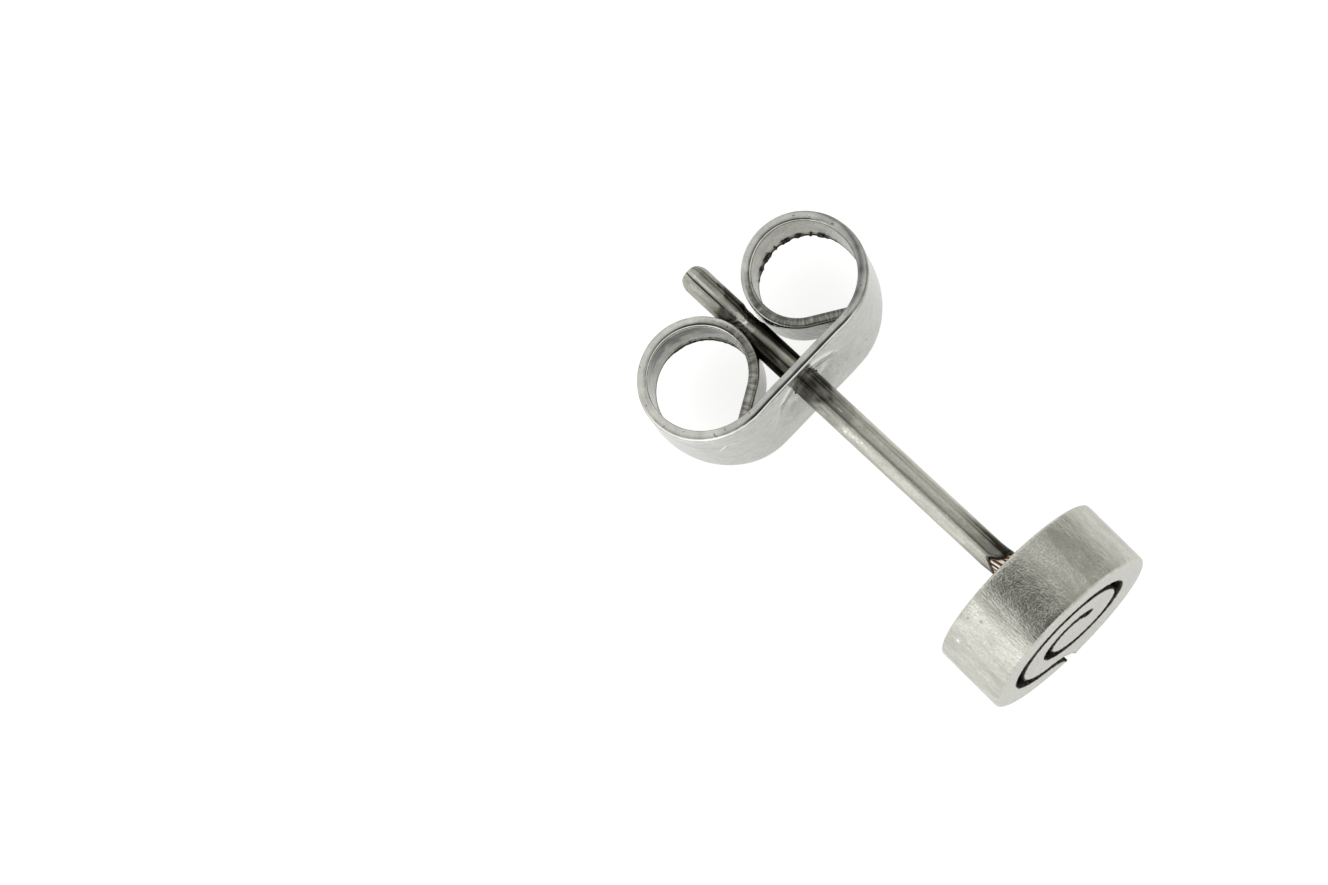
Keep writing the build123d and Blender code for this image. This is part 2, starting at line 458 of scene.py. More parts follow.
def wire_shade(p, a):
    """How dark the wire is: scorched beside the weld and darkest on its right, with a painted shadow
    along the weld's fold on its left; darker before the plate; near black with painted shade between
    the curls, save for painted highlight stripes; painted shade on the tip's right and on the wire's left."""
    wander = 0.10 * lumps(0.4 * np.sin(a), 0.4 * np.cos(a) + p, 0.25, 1.2, 25)
    behind = clutch_place + strip_thickness / 2
    weld = (0.42 + 0.42 * bell(a, 0.9, 0.55)) * (1 - ease(0.8, 2.9, p + wander + 0.2 * np.abs(a - 0.7)))
    # Second term: darker still beside the disc, and a painted shadow along the weld's fold at a near -1.4
    weld = weld + (0.25 * bell(a, 0.8, 0.45) + 0.45 * bell(a, -1.4, 0.3)) * (1 - ease(0.8, 1.3, p))
    near = ease(behind - 0.2, behind, p)
    # Darker towards the plate
    zone_strength = (0.42 * ease(5.5, 6.7, p + 2 * wander) + 0.38 * ease(6.8, 7.5, p + 2 * wander)) * (1 - near)
    over_groove = ease(groove_place, groove_place + 0.3, p)
    # Painted highlight stripes on the wire within the painted shade between the curls
    wide = 1 - ease(8.6, 9.0, p)
    streak = (0.50 + 0.2 * wide) * bell(a, 0.20 - 0.18 * (p - 9.0), 0.22 + 0.14 * wide)
    streak = streak + 0.25 * bell(a, -0.6, 0.10)
    streak = streak * (1 - over_groove) + 0.85 * bell(a, 0.06, 0.24) * over_groove
    streak = np.maximum(streak, 0.8 * groove_bright_patch(p, a))
    # Painted shade, near black, on the wire between the curls
    edge = groove_place + 0.55 + 0.45 * ease(-0.2, 0.9, a) + wander
    dark = (0.83 + 0.09 * bell(p, 9.4, 0.45)) * near * (1 - ease(0, 0.4, p - edge)) * (1 - streak)
    on_tip = ease(groove_place + 0.3, groove_place + 0.7, p)
    # Painted shade on the tip, most on its right, with a painted dark reflection line at a near -0.2
    bands = 0.26 + 0.30 * bell(a, 0.66, 0.28) + 0.12 * bell(a, -0.9, 0.6) + 0.60 * bell(a, -0.20, 0.055)
    # Painted shade on the wire's left side
    left_painted_shade = 0.02 + 0.14 * ease(0.15, 0.5, -a)
    return np.maximum.reduce([weld, zone_strength, dark, on_tip * bands, left_painted_shade + 0 * dark])


def groove_bright_patch(p, a):
    """1 on a bright ragged patch in the groove, 0 around it."""
    away = np.hypot((a - 0.08) / 0.26, (p - groove_place - 0.12) / 0.30)
    return 1 - ease(0.75, 1.0, away + 0.22 * lumps(0.4 * a, p + 0 * a, 0.1, 0.4, 48))


def ridges(p, a):
    """The weld's ridges, which fan out towards the disc."""
    return ripple(a + 0.5 * p, 0.22, 0.6, 30, 10)


def weld_tone(p, a, pool):
    """The weld's own colour: two arcs at the pool's edge, then bright ridges along the post,
    burnt darker on their right. What is below 0 is painted bright: a painted highlight along the
    tip, and the bright patch in the groove."""
    depth = pool - p
    inside = ease(0.12, 0.17, depth)
    arcs = 0.06 + 0.42 * ease(0.06, 0.13, depth)
    burnt = 0.34 * ease(0.1, 0.7, a) * (1 - ease(1.2, 1.8, a))
    hues = np.clip(0.55 + 0.60 * ridges(p, a) - burnt, 0.03, 1)
    melted = ease(-0.012, 0.012, depth) * (arcs * (1 - inside) + hues * inside)
    # Painted highlight along the tip
    zone_strength = 1.4 * bell(a, 0.0, 0.09) * ease(10.8, 11.6, p) * (1 - ease(11.9, 12.05, p))
    return melted - np.maximum(zone_strength, 0.5 * groove_bright_patch(p, a))


def post(finishes):
    """The profile turned about the post, with the die's lines along it, a weld pool with ridges
    and a fold at its edge, and dents in the groove."""
    before, behind = groove_place - groove_length, groove_place + groove_length
    tip, brim = post_length - tip_length, post_length - tip_round
    runs = ((-post_root, weld_length, 0.012), (weld_length, before, 0.09), (before, behind, 0.016),
            (behind, tip, 0.04))
    rounded = post_length - tip_round * (1 - np.sin(np.linspace(0, np.pi / 2, 7)))
    place = [np.arange(*run) for run in runs] + [np.linspace(tip, brim, 16)[:-1], rounded]
    place = np.concatenate(place)
    turn = np.linspace(-np.pi, np.pi, turn_points)
    p, a = place[:, None], turn[None, :]
    side, top = np.sin(a), np.cos(a)
    radius = post_profile(place)[:, None] + wire_grain * lumps(side + 0.004 * p, top, 0.05, 0.3, 22)
    drawn = ease(weld_pool, weld_length, p)
    painted_line_reflection = 0 * a * p
    for angle, depth, width, dark in wire_lines:
        away = (a - angle - 0.02 * ripple(p, 2.5, 9, 26) + np.pi) % (2 * np.pi) - np.pi
        line = drawn * (0.75 + 0.25 * ripple(p, 1.0, 5, 27)) * bell(away, 0, width)
        radius = radius - depth * line
        painted_line_reflection = painted_line_reflection + dark * line
    pool = weld_pool - 0.17 * (1 - top) + pool_rise * bell(a, -0.5, 0.38)
    pool = pool + 0.02 * lumps(side, top, 0.4, 1.2, 28)
    melted = 1 - ease(pool - 0.12, pool, p)
    radius = radius + melted * (ridge_height * ridges(p, a) - 0.01)
    radius = radius - fold_depth * bell(p, pool, fold_width)
    radius = radius + neck_lean * np.sign(side) * side ** 2 * (1 - ease(0.3, 1.0, p))
    radius = radius + dent_depth * groove_share(p) * lumps(side * 0.5, top * 0.5 + p, 0.12, 0.5, 24)
    grid = joined(-p, radius * side, radius * top)
    shade = np.clip(wire_shade(p, a) + painted_line_reflection, 0, 1)
    skin = sheet(grid, joined(a * post_radius, p), 0, shade, weld_tone(p, a, pool))
    ends = [cap(grid[k, :-1], grid[k, :-1, 1:], 0) for k in (0, -1)]
    piece("post", [skin] + ends, finishes, "stud", "spiral_stud", 40)


# Clutch

def strip_width(place):
    """Full width over the plate, easing to the curl's width over taper_length."""
    share = ease(0, taper_length, np.abs(place) - plate_full_length / 2)
    return plate_width + (curl_width - plate_width) * share


def curl_runs(values):
    """Start of one curl along the strip, its arcs as (radius, from heading, to heading) and the
    length of the tail. The heading turns from 0 at the plate to 360 less the tail's angle."""
    _, bite, opening, middle, closing, tail = values
    opening, middle, closing = (share * curl_radius for share in (opening, middle, closing))
    touch = post_radius + strip_thickness * (0.5 - bite)
    first_end, second_end = np.radians([opening_end, middle_end])
    last_end = np.radians(360 - tail)
    start = touch + closing - (opening - middle) * np.sin(first_end)
    start -= (middle - closing) * np.sin(second_end)
    runs = [(opening, 0.0, first_end), (middle, first_end, second_end), (closing, second_end, last_end)]
    angle = np.radians(tail)
    turned = sum(r * (np.cos(a) - np.cos(b)) for r, a, b in runs)
    room = turned - strip_thickness / 2 - tail_gap - np.cos(angle) * strip_thickness / 2
    return start, runs, room / np.sin(angle)


def curl_line(values, place):
    """Middle line of the strip on one side, at distances along it from the plate's middle: the
    distance from the post's axis, the distance behind the plate and the heading."""
    start, runs, tail = curl_runs(values)
    ends = np.cumsum([start] + [r * (b - a) for r, a, b in runs])
    headings = [0.0] + [b for r, a, b in runs]
    fine = np.linspace(0, ends[-1] + tail, 40001)
    bearing = np.interp(fine, ends, headings)
    line = []
    for rate in (np.cos(bearing), np.sin(bearing)):
        travelled = np.concatenate([[0], np.cumsum(fine[1] / 2 * (rate[1:] + rate[:-1]))])
        line.append(np.interp(place, fine, travelled))
    return *line, np.interp(place, ends, headings)


def edge_profile():
    """An even edge from the outer face over to the inner one, as thickness and height: quarter
    round, land, quarter round."""
    half = strip_thickness / 2
    sweep = np.linspace(0, np.pi / 2, corner_points)
    corner = joined(half - edge_round * (1 - np.cos(sweep)), edge_round * (np.sin(sweep) - 1))
    land = joined(np.linspace(half - edge_round, edge_round - half, land_points + 2)[1:-1], 0.0)
    return np.concatenate([corner, land, corner[::-1] * (-1, 1)])


def edge_shape(side, place, heading, seed, torn):
    """The edge's profile at each place. The land always rises towards the disc and falls outwards.
    On the torn side the inner corner is a burr whose reach is a sum of waves of the place."""
    shape = np.broadcast_to(edge_profile(), (len(place), edge_points, 2)).copy()
    s = place[:, None]
    turn = heading[:, None]
    tau = shape[..., 0]
    shape[..., 1] += tau * (edge_tilt * np.cos(turn) - edge_lean[side] * np.clip(np.sin(turn), 0, 1))
    shape[..., 1] += edge_waves * ripple(s + 0.3 * tau, 0.15, 0.9, seed)
    if torn:
        ragged = torn_share(side, turn)
        teeth = np.clip(1 - 1.1 * np.abs(ripple(s, 0.3, 0.9, 41, 6)), 0, 1)
        lip = np.array(burr_lip)
        shape[:, -corner_points:, 0] -= (burr_least + ragged * (burr_reach + burr_teeth[side] * teeth)) * lip
        shape[:, -corner_points:, 1] += burr_rise + 0.006 * ragged * lip * ripple(s, 0.1, 0.4, 42)
    return shape


def torn_share(side, turn):
    """How torn the far edge's inner corner is, by the strip's heading."""
    start, end = torn_headings[side]
    return ease(start, start + 0.5, turn) * (1 - ease(end, end + 0.5, turn))


def strip_section(side, place, heading):
    """The closed cross-section at each place: outer face, near edge, inner face, far edge."""
    half = strip_width(place)[:, None] / 2
    near = edge_shape(side, place, heading, 32, False)
    far = edge_shape(side, place, heading, 33, True)
    top = joined(near[..., 0], half + near[..., 1])
    bottom = joined(far[..., 0], -half - far[..., 1])[:, ::-1]
    share = np.linspace(0, 1, face_columns)[None, 1:-1, None]
    outer = bottom[:, -1:] + (top[:, :1] - bottom[:, -1:]) * share
    inner = top[:, -1:] + (bottom[:, :1] - top[:, -1:]) * share
    return np.concatenate([outer, top, inner, bottom], 1)


def section_finishes():
    """Finish of each strip of faces round the section: 0 outer face, 1 edge, 2 torn burr painted dark
    as shade, 3 inner face, a darker copy of the outer finish as painted shade."""
    face = face_columns - 2
    finish = np.zeros(2 * face + 2 * edge_points, int)
    finish[face + 4:face + edge_points - 4] = 1
    finish[face + edge_points - 1:2 * face + edge_points] = 3
    finish[2 * face + edge_points:2 * face + edge_points + 2] = 2
    finish[2 * face + edge_points + 2:-4] = 1
    return finish


def carried(values, place):
    """The cross-section carried along one side of the strip, with the post's channel pressed in:
    what lies nearer to the post's axis than the channel's radius is moved out to that radius."""
    side = values[0]
    out, back, heading = curl_line(values, place)
    section = strip_section(side, place, heading)
    tau, width = section[..., 0], section[..., 1]
    turn = heading[:, None]
    x = -clutch_place - back[:, None] + tau * np.cos(turn)
    y = side * (out[:, None] + tau * np.sin(turn))
    deep = np.sqrt(np.clip(channel_radius ** 2 - width ** 2, 0, None))
    y = np.where((np.abs(y) < deep) & (turn > 1), side * deep, y)
    ring = np.hypot(*np.diff(section, axis=1, append=section[:, :1]).transpose(2, 0, 1))
    girth = np.concatenate([np.zeros((len(place), 1)), np.cumsum(ring, 1)], 1)
    grid = joined(x, y, width)
    return np.concatenate([grid, grid[:, :1]], 1), joined(side * place[:, None], girth)


def edge_tone(side, place, heading):
    """The near edge's tone: its land, darker where the +y curl leaves the plate, and at the corner
    that faces the disc a painted dark reflection line beside a painted highlight line. On the +y
    curl the painted dark reflection widens into a band that wanders from the inner corner over to
    the outer one as the curl turns."""
    s = place[:, None]
    beyond = ease(1.9, 3.2, s)
    if side > 0:
        land = 0.24 + beyond * (0.16 - 0.22 * ease(4.5, 6.0, s))
    else:
        land = 0.24 - 0.18 * beyond
    tone = np.repeat(land + 0.08 * lumps(s, 0 * s, 0.2, 1.0, 47, 8), edge_points, 1)
    turn = heading[:, None]
    fading = 1.0 if side > 0 else 0.65 * (np.array(corner_lines) > 0)
    tone[:, 3:9] += corner_lines * (1 - fading * ease(0.0, 0.45, turn)) * (1 - ease(1.4, 2.1, turn))
    # The same painted reflection lines on the inner corner once the curl has turned past square
    turned = 0.45 if side > 0 else 0.45 + 0.55 * ease(3.2, 4.0, turn)
    tone[:, -4:-10:-1] += corner_lines * (turned * np.clip(-np.cos(turn), 0, 1))
    if side < 0:
        tone[:, :5] += 0.4 * bell(turn, 2.9, 0.8)
    else:
        across_edge = edge_profile()[:, 0] / (strip_thickness / 2)
        middle = np.interp(turn, band_turns, band_middles)
        strength = 0.42 * ease(0.05, 0.3, turn) * (1 - ease(2.4, 2.9, turn))
        tone += strength * bell(across_edge, middle, 0.26 + 0.26 * bell(turn, 0.8, 0.6))
    tails = ease(4.3, 5.0, turn)
    tone[:, :4] += 0.7 * tails
    tone[:, -8:-5] += 0.5 * tails
    return tone


def sheet_tone(side, place, heading, grid, total):
    """How much darker the curl is: painted shade on the outer face near the plate, darker and gritty
    near the tail, painted shade on the inner face along its near edge on the -y side, and the near
    edge. On the -y side a painted highlight strip and a thin darker line lie on the outer face's
    first bend."""
    s = place[:, None]
    face = face_columns - 2
    # Painted shade near the plate; darker near the tail
    tone = plate_painted_shade * (1 - ease(2.0, 5.0, s)) + 0.3 * ease(total - 2.6, total - 1.2, s)
    tone = np.repeat(tone, grid.shape[1], 1)
    tone[:, face:face + edge_points] = edge_tone(side, place, heading)
    grit = 0.5 + 0.9 * lumps(s, grid[:, :face, 2], 0.08, 0.5, 49)
    tone[:, :face] += 0.22 * ease(total - 3.2, total - 1.6, s) * np.clip(grit, 0, 1)
    half = strip_width(place)[:, None] / 2
    if side < 0:
        turn = heading[:, None]
        depth = half - grid[:, :face, 2]
        # -0.9: a painted highlight strip along the near edge; 0.3: a thin darker line
        marks = 0.3 * bell(depth, 2.1 - 1.2 * turn, 0.1) - 0.9 * bell(depth, 0.0, 0.25)
        tone[:, :face] += marks * bell(turn, 1.1, 0.4)
    inner = slice(face + edge_points, 2 * face + edge_points)
    height = grid[:, inner, 2] / half
    uneven = 0.2 * lumps(s, grid[:, inner, 2], 0.2, 1.2, 45)
    # Painted shade on the inner face, deepest along its near edge
    dark_band = 0.80 * bell(height + uneven, 0.42, 0.42) + 0.6 * bell(height + 0.3 * uneven, 0.80, 0.12)
    inner_painted_shade = ease(1.9, 3.1, heading)[:, None] * (0.12 + dark_band)
    tone[:, inner] = 0.08 * (1 + 3 * uneven) + (side < 0) * (0.06 + inner_painted_shade)
    return tone


def curl(values):
    """One curl from the patch's edge on. Shade grows towards the tail's cut end."""
    start, runs, tail = curl_runs(values)
    total = start + sum(r * (b - a) for r, a, b in runs) + tail
    place = np.linspace(patch_reach, total, round((total - patch_reach) / strip_step))
    grid, uv = carried(values, place)
    heading = curl_line(values, place)[2]
    worn = ease(total - 3.4, total - 1.4, place)[:, None]
    finish = np.repeat(section_finishes()[None, :], len(place) - 1, 0)
    burr = 2 * (face_columns - 2) + edge_points + 2
    finish[torn_share(values[0], heading[1:]) > 0.2, burr:burr + 2] = 2
    skin = sheet(grid, uv, finish, worn, sheet_tone(values[0], place, heading, grid, total))
    return [skin, cap(grid[-1, :-1], grid[-1, :-1, 1:], 1)]


def bent(y, offset):
    """Where the strip's face at this offset from its middle lies along the post: flat over the
    plate, and beyond each curl's start the circle of its first arc."""
    (right, arcs, _), (left, left_arcs, _) = (curl_runs(values) for values in curls)
    beyond = np.maximum(np.abs(y) - np.where(y > 0, right, left), 0)
    bends = np.where(y > 0, arcs[0][0], left_arcs[0][0])
    return np.sqrt((bends + offset) ** 2 - beyond ** 2) - bends - clutch_place


def sunk(y, z):
    """How deep the dimple is: a parabola of the distance to the hole's middle towards +z, and a
    flat middle with a smooth slope towards -z."""
    distance = np.hypot(y, z)
    share = np.clip((distance - dimple_flat) / (dimple_radius - dimple_flat), 0, 1)
    crisp = ease(0.2, 1.0, z)
    bowl = np.clip(distance / dimple_radius, 0, 1) ** 2
    return dimple_depth * (1 - crisp * bowl - (1 - crisp) * ease(0, 1, share))


def patch(border, offset):
    """One face of the plate round its hole, at an offset from the strip's middle: circles out to
    patch_ring, then a blend from the last circle to the border."""
    edge = border[:, 1:]
    angle = np.arctan2(edge[:, 1], edge[:, 0])
    rings = np.linspace(hole_radius + hole_lip, patch_ring, patch_circles)
    circles = rings[:, None, None] * joined(np.cos(angle), np.sin(angle))
    share = np.linspace(0, 1, patch_blend + 1)[1:, None, None]
    flat = np.concatenate([circles, circles[-1] + (edge - circles[-1]) * share])
    y, z = flat[..., 0], flat[..., 1]
    grid = joined(bent(y, offset) - sunk(y, z), y, z)
    grid[-1] = border
    return grid


def around_grid(rows):
    """The outer points of a grid as one closed line."""
    return np.concatenate([rows[0, :-1], rows[:-1, -1], rows[-1, :0:-1], rows[::-1, 0]])


def hole_wall(front, rear):
    """The hole's wall from the front face's first circle to the rear's, with a quarter round at
    both ends."""
    sweep = np.linspace(0, np.pi / 2, 4)
    start, end = (np.arctan2(face[0, :, 2], face[0, :, 1]) for face in (front, rear))
    first = front[0, 0, 0] - hole_lip * (1 - np.cos(sweep))
    last = rear[0, 0, 0] + hole_lip * (1 - np.cos(sweep[::-1]))
    x = np.concatenate([first, last])[:, None]
    r = hole_radius + hole_lip * np.concatenate([1 - np.sin(sweep), 1 - np.sin(sweep[::-1])])[:, None]
    turn = start + (end - start) * np.linspace(0, 1, len(x))[:, None]
    return sheet(joined(x, r * np.cos(turn), r * np.sin(turn)), joined(turn * hole_radius, x), 1)


def plate_tone(y, z):
    """How much darker the plate's front is painted: painted shade, mottled, in the dimple, a painted
    highlight along the oval of its rim over a band of painted shade, painted shade on the slope at
    +y, and a fainter painted highlight round its bottom."""
    oval = np.hypot(oval_stretch * y, z)
    bottom = np.hypot(y / bottom_reach[0], (z - bottom_rise) / bottom_reach[1])
    mottle = 0.10 * lumps(y, z, 0.15, 0.8, 46)
    plate_front_shade = plate_painted_shade + (0.20 + mottle) * (1 - ease(0.9, 1.9, oval))
    # A band of painted shade inside the rim's oval, and a painted highlight on the rim
    rim = 0.45 * bell(oval, oval_band, 0.14) - 1.1 * bell(oval, oval_rim, 0.11)
    plate_front_shade = plate_front_shade + ease(0.5, 0.9, z) * rim
    # Painted shade on the slope at +y, and a fainter painted highlight round the bottom
    return plate_front_shade + 0.16 * bell(y, 1.15, 0.35) * bell(z, 0.2, 0.6) - 0.35 * bell(bottom, 1.0, 0.13)


def plate():
    """The plate: both faces with the dimple pressed in round the hole, the hole's wall, and the
    two long edges. Near its ends the plate already follows the curls' first arcs."""
    count = round(patch_reach / strip_step) + 1
    place = np.linspace(0, patch_reach, count)
    right, left = (carried(values, place) for values in curls)
    grid = np.concatenate([left[0][:0:-1], right[0]])
    uv = np.concatenate([left[1][:0:-1], right[1]])
    face = face_columns - 2
    finish = section_finishes()
    near = slice(face, face + edge_points)
    far = slice(2 * face + edge_points, 2 * face + 2 * edge_points)
    tones = [edge_tone(side, place, np.zeros(count)) for side in (-1, 1)]
    parts = []
    for run, tone in ((near, np.concatenate([tones[0][:0:-1], tones[1]])), (far, plate_painted_shade)):
        parts.append(sheet(grid[:, run], uv[:, run], finish[run][None, :-1], 0, tone))
    outer = np.concatenate([grid[:, -2:-1], grid[:, :near.start + 1]], 1)
    inner = grid[:, near.stop - 1:far.start + 1]
    front = patch(around_grid(outer), strip_thickness / 2)
    rear = patch(around_grid(inner[:, ::-1]), -strip_thickness / 2)
    parts.append(sheet(front, front[..., 1:], 0, 0, plate_tone(front[..., 1], front[..., 2])))
    parts.append(sheet(rear, rear[..., 1:], 3))
    parts.append(hole_wall(front, rear))
    return parts


def clutch(finishes):
    """The plate and its two curls as one strip."""
    parts = plate()
    for values in curls:
        parts += curl(values)
    piece("clutch", parts, finishes, "clutch", "butterfly_clutch", 42)


# Finishes

vectors = "ShaderNodeVectorMath"
# Colour of the painted highlights on the rim, the sheet and the edges
painted_highlight_steel = (0.97, 0.97, 0.95, 1)
pit_colour = (0.12, 0.115, 0.10, 1)

# Marks on the rim, in the stud's own axes, with their size; marks on the wire and on the sheet,
# in surface coordinates, with their half lengths and turn
rim_glint = ((0.32, -2.387, 1.498), 0.065)
rim_stains = (((0.56, -1.645, 2.266), 0.075), ((0.21, -1.808, 2.137), 0.05), ((0.9, -1.2, 2.49), 0.04))
wire_nicks = (
    ((-0.33, 6.05), (0.03, 0.05), 0), ((-0.27, 5.78), (0.02, 0.06), 0), ((-0.22, 5.49), (0.03, 0.03), 0),
    ((-0.30, 5.62), (0.015, 0.04), 0), ((-0.08, 2.45), (0.025, 0.03), 0), ((0.04, 6.53), (0.012, 0.12), 0))
sheet_scratches = (((-2.87, 2.19), (0.024, 0.46), 18.8), ((-2.59, 2.60), (0.16, 0.028), -13.0))


def add(tree, kind, settings=None, **inputs):
    """A node with its settings, and its inputs set from numbers or linked from sockets."""
    made = tree.nodes.new(kind)
    for name, value in (settings or {}).items():
        setattr(made, name, value)
    for name, value in inputs.items():
        socket = made.inputs[int(name[1:]) if name[1:].isdigit() else name.replace("_", " ")]
        if isinstance(value, bpy.types.NodeSocket):
            tree.links.new(value, socket)
        else:
            socket.default_value = value
    return made


def ramp(tree, fac, stops, smooth=True):
    """Colour from a value: stops are (place, colour)."""
    made = add(tree, "ShaderNodeValToRGB", i0=fac)
    elements = made.color_ramp.elements
    made.color_ramp.interpolation = "EASE" if smooth else "LINEAR"
    while len(elements) < len(stops):
        elements.new(0.5)
    for element, (place, colour) in zip(elements, stops):
        element.position = place
        element.color = (*colour, 1)
    return made.outputs["Color"]


def maths(tree, operation, *values, kind="ShaderNodeMath", output=0):
    """The result of one operation on values, or on vectors with that kind of node."""
    inputs = {f"i{k}": value for k, value in enumerate(values)}
    return add(tree, kind, {"operation": operation}, **inputs).outputs[output]


def ranged(tree, value, low, high, new_low, new_high):
    """The value carried from one range to another and kept inside it."""
    made = add(tree, "ShaderNodeMapRange", i0=value, i1=low, i2=high, i3=new_low, i4=new_high)
    return made.outputs["Result"]


def over(tree, fac, first, second):
    """first where fac is 0, second where it is 1."""
    made = add(tree, "ShaderNodeMix", {"data_type": "RGBA"}, i0=fac, i6=first, i7=second)
    return made.outputs[2]


def noise(tree, vector, scale, detail, roughness):
    """Clouds of noise, about 0.3 to 0.7."""
    settings = {"Vector": vector, "Scale": scale, "Detail": detail, "Roughness": roughness}
    return add(tree, "ShaderNodeTexNoise", **settings).outputs["Fac"]


def surface(tree, stretch, turn=0.0):
    """The piece's own surface coordinates in millimetres, turned, then stretched."""
    uv = add(tree, "ShaderNodeUVMap", {"uv_map": "Surface"}).outputs["UV"]
    if turn:
        uv = add(tree, "ShaderNodeMapping", Vector=uv, Rotation=(0, 0, np.radians(turn))).outputs[0]
    return add(tree, "ShaderNodeMapping", Vector=uv, Scale=stretch).outputs["Vector"]


def object_place(tree):
    """Object coordinates in metres."""
    return add(tree, "ShaderNodeTexCoord").outputs["Object"]


def streaks(tree, stretch, detail=3, roughness=0.65, turn=0.0):
    """Noise on the surface, turned and drawn out: this many streaks to the millimetre each way."""
    return noise(tree, surface(tree, (*stretch, 1), turn), 1.0, detail, roughness)


def specks(tree, scale, detail=3, roughness=0.65):
    """Noise in the round, with this many specks to the millimetre."""
    place = add(tree, "ShaderNodeMapping", Vector=object_place(tree), Scale=(1 / MM, 1 / MM, 1 / MM))
    return noise(tree, place.outputs["Vector"], scale, detail, roughness)


def bump(tree, height, depth, under=None):
    """Bump of this depth in millimetres."""
    made = add(tree, "ShaderNodeBump", Height=height, Distance=depth * MM, Strength=1.0)
    if under:
        tree.links.new(under, made.inputs["Normal"])
    return made.outputs["Normal"]


def mark(tree, place, size, turn):
    """1 on a small ellipse of the surface coordinates, 0 beyond: its middle, its half lengths and
    its turn."""
    away = maths(tree, "SUBTRACT", surface(tree, (1, 1, 1)), (*place, 0), kind=vectors)
    spun = add(tree, "ShaderNodeMapping", Vector=away, Rotation=(0, 0, np.radians(turn))).outputs[0]
    scaled = add(tree, "ShaderNodeMapping", Vector=spun, Scale=(1 / size[0], 1 / size[1], 0)).outputs[0]
    reach = maths(tree, "LENGTH", scaled, kind=vectors, output="Value")
    return ranged(tree, reach, 0.6, 1.1, 1.0, 0.0)


def spot(tree, place, size):
    """1 on a small round spot about a place in the stud's own axes, 0 beyond."""
    centre = tuple(float(c) for c in seat(np.array(place)))
    reach = maths(tree, "DISTANCE", object_place(tree), centre, kind=vectors, output="Value")
    return ranged(tree, reach, 0.5 * size * MM, size * MM, 1.0, 0.0)


def marked(tree, colour, marks, tint):
    """The colour with small marks of another tint."""
    for place, size, turn in marks:
        colour = over(tree, mark(tree, place, size, turn), colour, tint)
    return colour


def tinted(tree, colour, tint, value, low, high, share=1.0):
    """The colour where value is at low, passing to a share of the tint where it is at high."""
    return over(tree, ranged(tree, value, low, high, 0.0, share), colour, tint)


def emptied(made):
    """The node tree of a new material or world, with nothing in it."""
    made.use_nodes = True
    made.node_tree.nodes.clear()
    return made.node_tree


def metal(name, edge_tint):
    """A new finish with a metal shader; edge_tint is how much it keeps of its glancing shine."""
    made = bpy.data.materials.new(name)
    tree = emptied(made)
    shader = add(tree, "ShaderNodeBsdfPrincipled", Metallic=1.0)
    shader.inputs["Specular Tint"].default_value = (edge_tint, edge_tint, edge_tint, 1)
    add(tree, "ShaderNodeOutputMaterial", Surface=shader.outputs[0])
    return made, tree, shader


def connect(tree, shader, colour, roughness, normal):
    """Gives the shader its colour, roughness and normal."""
    tree.links.new(colour, shader.inputs["Base Color"])
    tree.links.new(roughness, shader.inputs["Roughness"])
    tree.links.new(normal, shader.inputs["Normal"])


def attribute(tree, name):
    """A value that the mesh carries on its points."""
    return add(tree, "ShaderNodeAttribute", {"attribute_name": name}).outputs["Fac"]


def satin_rim():
    """Ground rim: fine grain drawn out through the thickness, cloudy patches."""
    made, tree, shader = metal("satin_rim", 0.9)
    grain = streaks(tree, (17, 3.5))
    stroke = streaks(tree, (9, 2.2))
    speck = specks(tree, 19.0, 2, 0.6)
    cloud = streaks(tree, (2.4, 0.7), 5, 0.7)
    mixed = over(tree, 0.7, grain, speck)
    colour = ramp(tree, mixed, [(0.3, (0.52, 0.522, 0.47)), (0.7, (0.76, 0.762, 0.70))])
    colour = tinted(tree, colour, (0.44, 0.44, 0.39, 1), cloud, 0.42, 0.62, 0.75)
    # Painted highlight on the rim
    colour = over(tree, spot(tree, *rim_glint), colour, painted_highlight_steel)
    for place, size in rim_stains:
        stain = maths(tree, "MULTIPLY", spot(tree, place, size), 0.45)
        colour = over(tree, stain, colour, (0.10, 0.095, 0.08, 1))
    rough = ranged(tree, speck, 0.3, 0.7, 0.15, 0.23)
    normal = bump(tree, grain, 0.009, bump(tree, speck, 0.008, bump(tree, stroke, 0.009)))
    connect(tree, shader, colour, rough, normal)
    return made


def brushed_face():
    """Flat faces with straight fine brush lines across them."""
    made, tree, shader = metal("brushed_face", 0.92)
    lines = streaks(tree, (26, 0.55), turn=35)
    speck = specks(tree, 22.0, 2, 0.6)
    mixed = over(tree, 0.55, lines, speck)
    colour = ramp(tree, mixed, [(0.32, (0.44, 0.442, 0.41)), (0.68, (0.78, 0.782, 0.74))])
    rough = ranged(tree, lines, 0.3, 0.7, 0.32, 0.46)
    normal = bump(tree, lines, 0.008, bump(tree, speck, 0.010))
    connect(tree, shader, colour, rough, normal)
    return made


def cut_wall():
    """Slot walls as the cutting left them: dark, scaly, with lines through the thickness."""
    made, tree, shader = metal("cut_wall", 0.7)
    drag = streaks(tree, (16, 1.2), 3, 0.6)
    scale = specks(tree, 9.0, 4, 0.6)
    mixed = over(tree, 0.5, drag, scale)
    colour = ramp(tree, mixed, [(0.35, (0.05, 0.045, 0.038)), (0.7, (0.24, 0.22, 0.185))])
    rough = ranged(tree, scale, 0.3, 0.7, 0.35, 0.6)
    normal = bump(tree, drag, 0.02, bump(tree, scale, 0.015))
    connect(tree, shader, colour, rough, normal)
    return made


